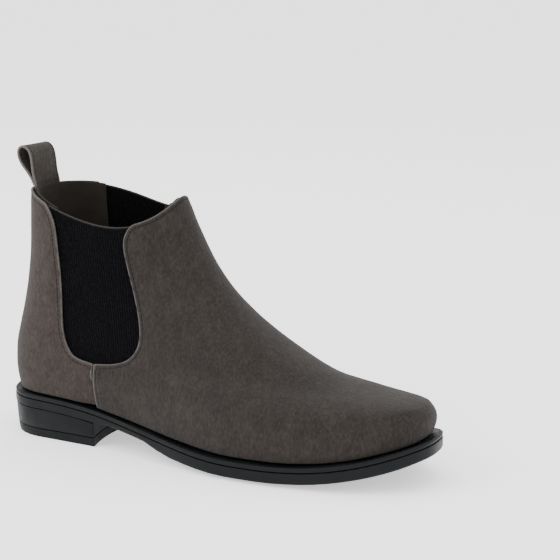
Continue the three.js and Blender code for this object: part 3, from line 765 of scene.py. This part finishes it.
@dataclass
class Panel:
    """A piece of the upper: a smooth copy of its CAD panel, with its rim measured."""

    node: str
    name: str
    skins: Sequence[bpy.types.Material]
    heart: Vector
    levels: int = 2
    sharp: float = math.radians(42)
    hold: float = 0.85
    rim_from: float = 0.0
    shape: Callable[[Vector, Vector, float], Vector] | None = None
    piece: bpy.types.Object = field(init=False)
    rims: list[list[Vector]] = field(init=False, default_factory=list)
    rim_inside: KDTree = field(init=False)

    def build(self) -> bpy.types.Object:
        """Makes the piece.

        Returns:
            The object, riding on the boot.
        """
        bm = node_mesh(self.node)
        mark_skins(bm, self.heart, self.sharp)
        crease(bm, self.sharp, self.hold, (WELT_FOOT, self.rim_from - 2 * MM))
        self.piece = make_piece(bm, self.name, self.skins)
        subdivide(self.piece, self.levels)
        self.measure()
        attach(self.piece, BOOT)
        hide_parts(self.node)
        log.info("%s: %d faces", self.name, len(self.piece.data.polygons))
        return self.piece

    def measure(self) -> None:
        """Stores each point's distance from the cut edge in mm, then shapes the surface."""
        mesh = self.piece.data
        sides: dict[tuple[int, int], set[int]] = {}
        middles: dict[tuple[int, int], Vector] = {}
        for poly in mesh.polygons:
            for key in poly.edge_keys:
                sides.setdefault(key, set()).add(poly.material_index)
                if poly.material_index == Skin.OUTER.value:
                    middles[key] = poly.center.copy()
        rim = [k for k, skins in sides.items() if skins == {Skin.OUTER.value, Skin.CUT_EDGE.value}]
        rim = [k for k in rim if mesh.vertices[k[0]].co.z > self.rim_from]
        self.rims = [[mesh.vertices[i].co.copy() for i in chain] for chain in chains(rim)]
        tree = KDTree(max(1, 4 * len(rim)))
        self.rim_inside = KDTree(max(1, len(rim)))
        for n, (a, b) in enumerate(rim):
            start, end = mesh.vertices[a].co, mesh.vertices[b].co
            for k in range(4):
                tree.insert(start.lerp(end, k / 4), 4 * n + k)
            self.rim_inside.insert(middles[(a, b)], n)
        tree.balance()
        self.rim_inside.balance()
        far = mesh.attributes.new("rim", "FLOAT", "POINT")
        distances = [tree.find(v.co)[2] / MM if rim else 99.0 for v in mesh.vertices]
        far.data.foreach_set("value", distances)
        if self.shape:
            normals = [v.normal.copy() for v in mesh.vertices]
            for vert, normal, distance in zip(mesh.vertices, normals, distances):
                vert.co = self.shape(vert.co, normal, distance)
            mesh.update()

    def row(
        self, pitch: float, inset: float, keep: Callable[[Vector, Vector], bool]
    ) -> list[list[tuple[Vector, Vector]]]:
        """Places for stitches along the rim.

        Args:
            pitch: Distance between stitches.
            inset: Distance from the rim.
            keep: Tells which places are sewn.

        Returns:
            Runs of points with their normals.
        """
        surface = tree_of(self.piece, Skin.OUTER)
        rows = []
        for rim in self.rims:
            run: list[tuple[Vector, Vector]] = []
            points = evenly(rim, pitch)
            for before, here, after in zip(points, points[1:], points[2:]):
                inner = self.rim_inside.find(here)[0] - here
                tangent = (after - before).normalized()
                inward = (inner - tangent * inner.dot(tangent)).normalized()
                place, normal, _, _ = surface.find_nearest(here + inward * inset)
                if place is not None and keep(place, normal):
                    run.append((place, normal))
                elif run:
                    rows.append(run)
                    run = []
            rows.append(run)
        return [run for run in rows if len(run) > 2]


@dataclass
class Upper:
    """The suede, lining, elastic and stiffeners."""

    finishes: Finishes
    panels: dict[str, Panel] = field(init=False, default_factory=dict)

    def build(self) -> None:
        """Builds every panel and its seams."""
        f = self.finishes
        low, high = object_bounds()
        cavity = Vector(((low.x + high.x) / 2 - 0.04, 0.0014, 0.055))
        suede = {
            "vamp": (f.vamp, Vector((0.01, 0.0014, 0.035))),
            "quarter_lateral": (f.quarter, cavity + Vector((-0.055, 0.0, 0.02))),
            "quarter_medial": (f.quarter, cavity + Vector((-0.055, 0.0, 0.02))),
        }
        for node, (finish, heart) in suede.items():
            floor = 0.0 if node == "vamp" else GORE_FOOT
            self.add(node, node + "_suede", (finish, f.edge, f.flesh), heart, shape=self.worn, rim_from=floor)
        for node in ("gore_lateral", "gore_medial"):
            self.add(node, node + "_elastic", (f.elastic,) * 3, cavity, 3)
            self.selvage(self.panels[node])
        for node in ("vamp_lining", "quarter_lining"):
            self.add(node, node + "_cloth", (f.lining,) * 3, cavity)
        for node in ("topline_tape_front", "topline_tape_lateral", "topline_tape_medial"):
            self.add(node, node + "_cloth", (f.tape,) * 3, cavity, 1)
        for node in ("toe_puff", "heel_counter"):
            self.add(node, node + "_shell", (f.stiffener,) * 3, cavity, 1)
        self.sew()

    def add(
        self,
        node: str,
        name: str,
        skins: Sequence[bpy.types.Material],
        heart: Vector,
        levels: int = 2,
        **more: object,
    ) -> None:
        """Builds one panel and keeps it.

        Args:
            node: Its CAD node.
            name: Name of the piece.
            skins: Materials of its outer side, cut edge and back.
            heart: A point that its outer side faces away from.
            levels: How often it is subdivided.
            more: Further fields of the Panel.
        """
        panel = Panel(node, name, skins, heart, levels, **more)
        panel.build()
        self.panels[node] = panel

    @staticmethod
    def worn(point: Vector, normal: Vector, rim: float) -> Vector:
        """Makes suede uneven, and pulls it in along its seam.

        Args:
            point: A point of the surface.
            normal: Its normal.
            rim: Its distance from the cut edge in mm.

        Returns:
            The moved point.
        """
        soft = noise.fractal(point / 0.022, 1.0, 2.0, 3) * 0.22 * MM
        pull = -0.16 * MM * math.exp(-(((rim - 2.6) / 1.3) ** 2))
        return point + normal * (soft * min(1.0, rim / 6) + pull)

    @staticmethod
    def selvage(gore: Panel) -> None:
        """Marks the woven top edge of a gore, where its ribs stop."""
        mesh = gore.piece.data
        tops = sorted((v.co.z for v in mesh.vertices), reverse=True)
        columns: dict[int, float] = {}
        column = 1.5 * MM
        for vert in mesh.vertices:
            key = round(vert.co.x / column)
            columns[key] = max(columns.get(key, 0.0), vert.co.z)
        mark = mesh.attributes.new("topline", "FLOAT", "POINT")
        lowest = tops[0] - 0.03
        mark.data.foreach_set(
            "value",
            [
                max(0.0, 1 - (columns[round(v.co.x / column)] - v.co.z) / MM) if v.co.z > lowest else 0.0
                for v in mesh.vertices
            ],
        )

    def sew(self) -> None:
        """Sews the rows along the panels' edges, and the second row of the side seams."""
        welt = node_tree("welt")
        vamp = tree_of(self.panels["vamp"].piece)
        seam = Seam(self.finishes.thread)

        def shown(place: Vector, normal: Vector) -> bool:
            near = welt.find_nearest(place)
            return near[3] > 2.5 * MM and place.z > 0.02

        def beside_vamp(place: Vector, normal: Vector) -> bool:
            above = vamp.ray_cast(place + normal * 0.3 * MM, normal, 0.006)
            return shown(place, normal) and above[0] is None

        def below_gore(place: Vector, normal: Vector) -> bool:
            return shown(place, normal) and place.z < 0.054 and place.x < -0.055

        sewn = {"vamp": shown, "quarter_lateral": beside_vamp, "quarter_medial": beside_vamp}
        for node, keep in sewn.items():
            panel = self.panels[node]
            rows = panel.row(seam.pitch, SEAM_INSET, keep)
            if node == "vamp":
                rows += panel.row(seam.pitch, SECOND_ROW, below_gore)
            piece = seam.sew(node + "_stitches", rows)
            if piece:
                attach(piece, BOOT)
                log.info("%s: %d rows", piece.name, len(rows))


# ---------------------------------------------------------------- pull tab


@dataclass
class PullTab:
    """Strap looped over the collar, whose front ply runs down inside the back seam."""

    finishes: Finishes
    thick: float = 1.5 * MM
    width: float = 27.0 * MM
    columns: int = 10
    # The strap's middle line as (forward, up) from its fold, in mm
    line: Sequence[tuple[float, float]] = (
        (0.0, -29), (0.0, -20), (0.0, -10), (0.15, -4), (0.4, -1), (0.72, 2), (0.8, 6.6), (0.5, 13),
        (-0.3, 18.6), (-1.8, 21.9), (-4.1, 23.7), (-7.1, 24.3), (-9.5, 23), (-10.4, 20.2), (-9.9, 17),
        (-8.3, 13.6), (-6, 10.6), (-3.4, 7.8), (-1.75, 5), (-0.95, 2.4), (-0.85, 0.2), (-0.95, -1.2),
    )  # fmt: skip
    strap: Panel = field(init=False)

    def build(self) -> None:
        """Builds the strap and its stitches."""
        joint = next(j for j in frame["record"]["behaviour"]["joints"] if j["child"] == TAB)
        axis = Vector(joint["pos_m"])
        finishes = (self.finishes.strap, self.finishes.edge, self.finishes.strap)
        self.strap = Panel("pull_tab", "pull_tab_strap", finishes, axis)
        self.strap.piece = self.loop(axis)
        self.strap.measure()
        seam = Seam(self.finishes.thread)

        def loose(place: Vector, normal: Vector) -> bool:
            return place.z > axis.z and abs(normal.y) < 0.5

        rows = self.strap.row(seam.pitch, 2.0 * MM, loose)
        stitches = seam.sew("pull_tab_stitches", rows)
        for piece in filter(None, (self.strap.piece, stitches)):
            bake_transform(piece)
        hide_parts("pull_tab", "pull_tab_root")

    def loop(self, axis: Vector) -> bpy.types.Object:
        """Lays a strip along the strap's line and gives it its thickness.

        Args:
            axis: Middle of the fold.

        Returns:
            The strap.
        """
        bm = bmesh.new()
        rows = len(self.line) - 1
        bmesh.ops.create_grid(bm, x_segments=self.columns, y_segments=rows, size=1.0)
        wall = node_tree("pull_tab_root")
        for vert in bm.verts:
            across, step = vert.co.x, round((vert.co.y + 1) / 2 * rows)
            forward, up = (n * MM for n in self.line[step])
            y = axis.y + across * self.width / 2
            bend = self.bend(wall, y, axis)
            if step < 3:
                bend = self.bend(wall, y, axis, up)
            keep = 1.0 if step < 5 else max(0.0, 1 - max(0.0, up) / (9 * MM)) ** 2
            vert.co = Vector((axis.x + forward + bend * keep, y, axis.z + up))
        piece = make_piece(bm, "pull_tab_strap", self.strap.skins)
        solid = piece.modifiers.new("thickness", "SOLIDIFY")
        solid.thickness, solid.offset, solid.material_offset_rim = self.thick, 0.0, 1
        round_ = piece.modifiers.new("round", "SUBSURF")
        round_.levels = round_.render_levels = 2
        solid.edge_crease_inner = solid.edge_crease_outer = 0.75
        settle(piece)
        return piece

    @staticmethod
    def bend(wall: BVHTree, y: float, axis: Vector, up: float = -5 * MM) -> float:
        """How far forward the collar's wall runs at y, counted from the fold."""
        ahead = wall.ray_cast(Vector((axis.x - 0.05, y, axis.z + up)), Vector((1, 0, 0)))
        behind = wall.ray_cast(Vector((axis.x + 0.05, y, axis.z + up)), Vector((-1, 0, 0)))
        if ahead[0] is None or behind[0] is None:
            return 5.4 * MM * (abs(y - axis.y) / 0.0135) ** 2
        return (ahead[0].x + behind[0].x) / 2 - axis.x


# ---------------------------------------------------------------- sole


def inset_line(line: Sequence[Vector], distance: float, spine: tuple[float, float]) -> list[Vector]:
    """Moves the points of an outline towards a spine along its middle.

    Args:
        line: Points of the outline, seen from above.
        distance: How far they move.
        spine: Where the spine starts and ends, along X.

    Returns:
        The moved points.
    """
    middle = (max(p.y for p in line) + min(p.y for p in line)) / 2
    result = []
    for point in line:
        aim = Vector((min(max(point.x, spine[0]), spine[1]), middle, 0))
        result.append(point + (aim - point).normalized() * distance)
    return result


def kept_run(line: Sequence[Vector], keep: Callable[[Vector], bool]) -> list[Vector]:
    """The longest run of points of a closed line that pass a test, in order."""
    count = len(line)
    best: list[Vector] = []
    run: list[Vector] = []
    for n in range(2 * count):
        point = line[n % count]
        if keep(point) and len(run) < count:
            run.append(point)
            if len(run) > len(best):
                best = list(run)
        else:
            run = []
    return best


@dataclass(frozen=True)
class Channel:
    """A groove of one width and depth along a line on the underside."""

    line: Sequence[Vector]
    width: float
    depth: float

    def add(self, bm: bmesh.types.BMesh, floor: BVHTree) -> None:
        """Adds the groove as a solid bar to cut with.

        Args:
            bm: Mesh to add to.
            floor: The underside it is cut into.
        """
        line = [p for n, p in enumerate(self.line) if not n or (p - self.line[n - 1]).length > 1e-5]
        made = bmesh.ops.create_grid(bm, x_segments=1, y_segments=len(line) - 1, size=1.0)
        for vert in made["verts"]:
            step = round((vert.co.y + 1) / 2 * (len(line) - 1))
            before, here, after = line[max(0, step - 1)], line[step], line[min(len(line) - 1, step + 1)]
            into, out = here - before, after - here
            corner = into.length > 0 and out.length > 0
            tangent = into.normalized() + out.normalized() if corner else after - before
            side = Vector((-tangent.y, tangent.x, 0)).normalized()
            spread = 1 / max(0.6, side.cross(into.normalized()).length) if corner else 1.0
            place = here + side * (vert.co.x * self.width / 2 * spread)
            hit = floor.ray_cast(Vector((here.x, here.y, -0.02)), Vector((0, 0, 1)))
            vert.co = Vector((place.x, place.y, (hit[0].z if hit[0] else 0.0) - 1.0 * MM))
        faces = list({f for v in made["verts"] for f in v.link_faces})
        raised = bmesh.ops.extrude_face_region(bm, geom=faces)
        lifted = [v for v in raised["geom"] if isinstance(v, bmesh.types.BMVert)]
        bmesh.ops.translate(bm, verts=lifted, vec=Vector((0, 0, self.depth + 1.0 * MM)))


@dataclass
class Sole:
    """Welt, outsole and heel."""

    finishes: Finishes

    def build(self) -> None:
        """Builds the sole unit from its CAD nodes."""
        rubber, lift = self.finishes.rubber, self.finishes.lift
        self.rounded("welt", "welt_rubber", rubber, 2, 0.6)
        self.carve(self.bevelled("outsole", "outsole_rubber", rubber), self.tread())
        self.bevelled("heel_block", "heel_block_rubber", rubber)
        self.carve(self.bevelled("heel_top_lift", "heel_top_lift_rubber", lift), self.heel_channels())
        self.sew_welt()

    def carve(self, piece: bpy.types.Object, channels: Sequence[Channel]) -> None:
        """Cuts channels into the underside of a piece.

        Args:
            piece: The piece to cut.
            channels: What is cut out.
        """
        floor = tree_of(piece)
        bm = bmesh.new()
        for channel in channels:
            channel.add(bm, floor)
        bmesh.ops.recalc_face_normals(bm, faces=bm.faces)
        cutter = make_piece(bm, "channels", [], smooth=False)
        modifier = piece.modifiers.new("tread", "BOOLEAN")
        modifier.operation, modifier.solver = "DIFFERENCE", "EXACT"
        modifier.object, modifier.use_self = cutter, True
        settle(piece)
        bpy.data.objects.remove(cutter, do_unlink=True)
        shade_by_angle(piece, 30)
        piece.modifiers.new("normals", "WEIGHTED_NORMAL").keep_sharp = True
        settle(piece)
        log.info("%s: %d channels, %d faces", piece.name, len(channels), len(piece.data.polygons))

    def tread(self) -> list[Channel]:
        """Channels of the outsole: a framed forefoot with spokes and crosses, and a frame in the waist."""
        border = inset_line(self.outline(2.0 * MM), SOLE_BORDER, (-0.15, 0.095))
        rim = kept_run(border, lambda p: p.x > TREAD_BACK)
        back = [rim[-1].lerp(rim[0], k / 12) for k in range(1, 13)]
        channels = [Channel(rim + back, 1.7 * MM, 1.8 * MM)]
        spokes = evenly(rim, 11.5 * MM)
        for n, foot in enumerate(spokes[1:-1]):
            aim = Vector((min(max(foot.x * 0.7 + 0.018, 0.01), 0.105), 0, 0))
            inward = (aim - foot).normalized()
            aside = Vector((-inward.y, inward.x, 0)) * 2.6 * MM * (1 if n % 2 else -1)
            reach = min(17 * MM, (aim - foot).length * 0.62)
            notch, tip = foot + inward * reach * 0.55, foot + inward * reach
            channels.append(Channel([foot, notch, notch + aside, tip + aside], 1.2 * MM, 1.4 * MM))
        for n in range(8):
            middle = Vector((0.012 + 0.0125 * n, (5.5 if n % 2 else -6.5) * MM, 0))
            lobes = []
            for k in range(29):
                turn = 2 * math.pi * k / 28
                reach = 4.3 * MM * (1 + 0.32 * math.cos(4 * turn))
                lobes.append(middle + Vector((math.cos(turn), math.sin(turn), 0)) * reach)
            channels.append(Channel(lobes, 0.9 * MM, 0.9 * MM))
        back_x, front_x, half = FRAME
        corners = [(front_x, -half), (front_x, half), (back_x, half), (back_x, -half), (front_x, -half)]
        frame_line = [Vector((x, y, 0)) for x, y in corners]
        channels.append(Channel(frame_line, 1.0 * MM, 0.7 * MM))
        return channels

    def heel_channels(self) -> list[Channel]:
        """Channels of the top lift: a U that follows its edge, and short bars behind it."""
        border = inset_line(self.outline(2.0 * MM), HEEL_BORDER, (-0.115, 0.15))
        rim = kept_run(border, lambda p: p.x < BREAST)
        bars = [
            Channel([Vector((x, -half, 0)), Vector((x, half, 0))], 1.4 * MM, 1.2 * MM)
            for x, half in ((-0.094, 0.017), (-0.104, 0.017), (-0.114, 0.016), (-0.124, 0.013))
        ]
        return [Channel(rim, 1.7 * MM, 1.5 * MM)] + bars

    @staticmethod
    def rounded(
        node: str, name: str, finish: bpy.types.Material, levels: int, hold: float
    ) -> bpy.types.Object:
        """Subdivided copy of a node.

        Args:
            node: The CAD node.
            name: Name of the piece.
            finish: Its material.
            levels: How often it is subdivided.
            hold: How firmly its sharp edges are held.

        Returns:
            The piece, riding on the boot.
        """
        bm = node_mesh(node)
        crease(bm, math.radians(30), hold)
        piece = make_piece(bm, name, [finish])
        subdivide(piece, levels)
        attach(piece, BOOT)
        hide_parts(node)
        return piece

    @staticmethod
    def bevelled(
        node: str, name: str, finish: bpy.types.Material, width: float = 0.5 * MM
    ) -> bpy.types.Object:
        """Copy of a node with its edges broken.

        Args:
            node: The CAD node.
            name: Name of the piece.
            finish: Its material.
            width: How far the edges are cut back.

        Returns:
            The piece, riding on the boot.
        """
        bm = node_mesh(node, quads=False)
        bmesh.ops.dissolve_limit(bm, angle_limit=math.radians(1.0), verts=bm.verts, edges=bm.edges)
        sharp = [e for e in bm.edges if e.calc_face_angle(0.0) > math.radians(35)]
        bmesh.ops.bevel(
            bm,
            geom=sharp,
            offset=width,
            offset_type="OFFSET",
            affect="EDGES",
            segments=2,
            profile=0.5,
            material=-1,
        )
        piece = make_piece(bm, name, [finish])
        shade_by_angle(piece, 40)
        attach(piece, BOOT)
        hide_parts(node)
        return piece

    def sew_welt(self) -> None:
        """Sews the welt round the forefoot."""
        welt = node_tree("welt")
        seam = Seam(self.finishes.welt_thread, 2.6 * MM, 3.6 * MM, 0.7 * MM, 0.1 * MM)
        outline = self.outline()
        rows: list[list[tuple[Vector, Vector]]] = []
        run: list[tuple[Vector, Vector]] = []
        middle = Vector((0.0, 0.0014, 0.0))
        for before, here, after in zip(outline, outline[1:], outline[2:]):
            tangent = (after - before).normalized()
            inward = Vector((tangent.y, -tangent.x, 0))
            if inward.dot(middle - here) < 0:
                inward.negate()
            place = welt.ray_cast(here + inward * 1.9 * MM + Vector((0, 0, 0.05)), Vector((0, 0, -1)))
            if place[0] is not None and here.x > SOLE_STITCHES_BACK:
                run.append((place[0], place[1]))
            elif run:
                rows.append(run)
                run = []
        rows.append(run)
        piece = seam.sew("welt_stitches", rows)
        if piece:
            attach(piece, BOOT)

    @staticmethod
    def outline(pitch: float = 3.6 * MM) -> list[Vector]:
        """Points round the outsole's outline, seen from above: from the toe by the medial side and back."""
        mesh = frame["nodes"]["outsole"].data
        low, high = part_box("outsole")
        ends = [[mesh.vertices[n].co for n in edge.vertices] for edge in mesh.edges]
        medial, lateral = [], []
        for k in range(181):
            x = (low.x + high.x) / 2 + (high.x - low.x) / 2 * 0.9999 * math.cos(math.pi * k / 180)
            cut = [a.y + (b.y - a.y) * (x - a.x) / (b.x - a.x) for a, b in ends if (a.x - x) * (b.x - x) < 0]
            medial.append(Vector((x, max(cut), 0)))
            lateral.append(Vector((x, min(cut), 0)))
        return evenly([*medial, *reversed(lateral), medial[0]], pitch)


@dataclass
class Inside:
    """Insole, filler, shank, nails, sock and heel pad."""

    finishes: Finishes

    def build(self) -> None:
        """Dresses the hidden CAD nodes, and makes the soft ones smooth."""
        f = self.finishes
        Sole.rounded("sock_liner", "sock_liner_cloth", f.sock, 2, 0.5)
        Sole.rounded("heel_pad", "heel_pad_cloth", f.sock, 2, 0.5)
        dressed = {"insole_board": f.board, "bottom_filler": f.cork, "shank": f.steel}
        dressed.update({f"heel_nail_{n}": f.steel for n in range(1, 6)})
        for node, finish in dressed.items():
            piece = frame["nodes"][node]
            piece.data.materials.clear()
            piece.data.materials.append(finish)


# ---------------------------------------------------------------- studio


@dataclass
class Studio:
    """Pale floor, soft lights and the camera."""

    target: Vector = field(default_factory=lambda: Vector((0.04404, 0.00141, 0.11518)))
    distance: float = 0.92335
    yaw: float = 26.91
    pitch: float = 12.0
    lens: float = 96.43

    def build(self) -> None:
        """Sets the stage."""
        self.floor()
        self.lights()
        self.camera()

    def floor(self) -> None:
        """Lays a pale floor that fades into the background."""
        bm = bmesh.new()
        bmesh.ops.create_grid(bm, x_segments=2, y_segments=2, size=40.0)
        g = Graph("floor_paint")
        colour = g.mix(g.ramp(g.noise(0.4), 0.3, 0.7), (0.9, 0.9, 0.9, 1), (0.92, 0.92, 0.92, 1))
        glow = {"Emission_Color": (1, 1, 1, 1), "Emission_Strength": 0.7}
        paint = g.finish(colour, 0.85, Specular_IOR_Level=0.1, **glow)
        floor = make_piece(bm, "floor", [paint])
        floor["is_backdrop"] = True
        world = bpy.context.scene.world or bpy.data.worlds.new("studio")
        bpy.context.scene.world = world
        world.use_nodes = True
        background = world.node_tree.nodes["Background"]
        background.inputs["Color"].default_value = (1.0, 1.0, 1.0, 1.0)
        background.inputs["Strength"].default_value = 1.9

    def lights(self) -> None:
        """Hangs three soft boxes."""
        boxes = (
            ("key", (-1.1, -1.1, 1.2), 1.2, 20.0),
            ("fill", (1.4, -0.9, 0.9), 1.2, 5.0),
            ("top", (0.1, 0.4, 1.9), 1.6, 12.0),
        )
        for name, place, size, power in boxes:
            data = bpy.data.lights.new(name, "AREA")
            data.shape, data.size, data.energy = "SQUARE", size, power
            lamp = bpy.data.objects.new(name, data)
            bpy.context.scene.collection.objects.link(lamp)
            lamp.location = place
            lamp.rotation_euler = (self.target - Vector(place)).to_track_quat("-Z", "Y").to_euler()

    def camera(self) -> None:
        """Sets the camera."""
        data = bpy.data.cameras.new("camera")
        data.lens, data.sensor_width, data.clip_start = self.lens, 36.0, 0.01
        camera = bpy.data.objects.new("camera", data)
        bpy.context.scene.collection.objects.link(camera)
        yaw, pitch = math.radians(self.yaw), math.radians(self.pitch)
        back = Vector((math.sin(yaw) * math.cos(pitch), -math.cos(yaw) * math.cos(pitch), math.sin(pitch)))
        camera.location = self.target + back * self.distance
        camera.rotation_euler = (-back).to_track_quat("-Z", "Y").to_euler()
        bpy.context.scene.camera = camera


def main() -> None:
    """Builds the boot and its stage."""
    logging.basicConfig(level=logging.INFO, format="%(name)s: %(message)s")
    finishes = Finishes()
    for part in (Upper(finishes), PullTab(finishes), Sole(finishes), Inside(finishes), Studio()):
        part.build()
        log.info("%s is built", type(part).__name__)


if __name__ == "__main__":
    main()
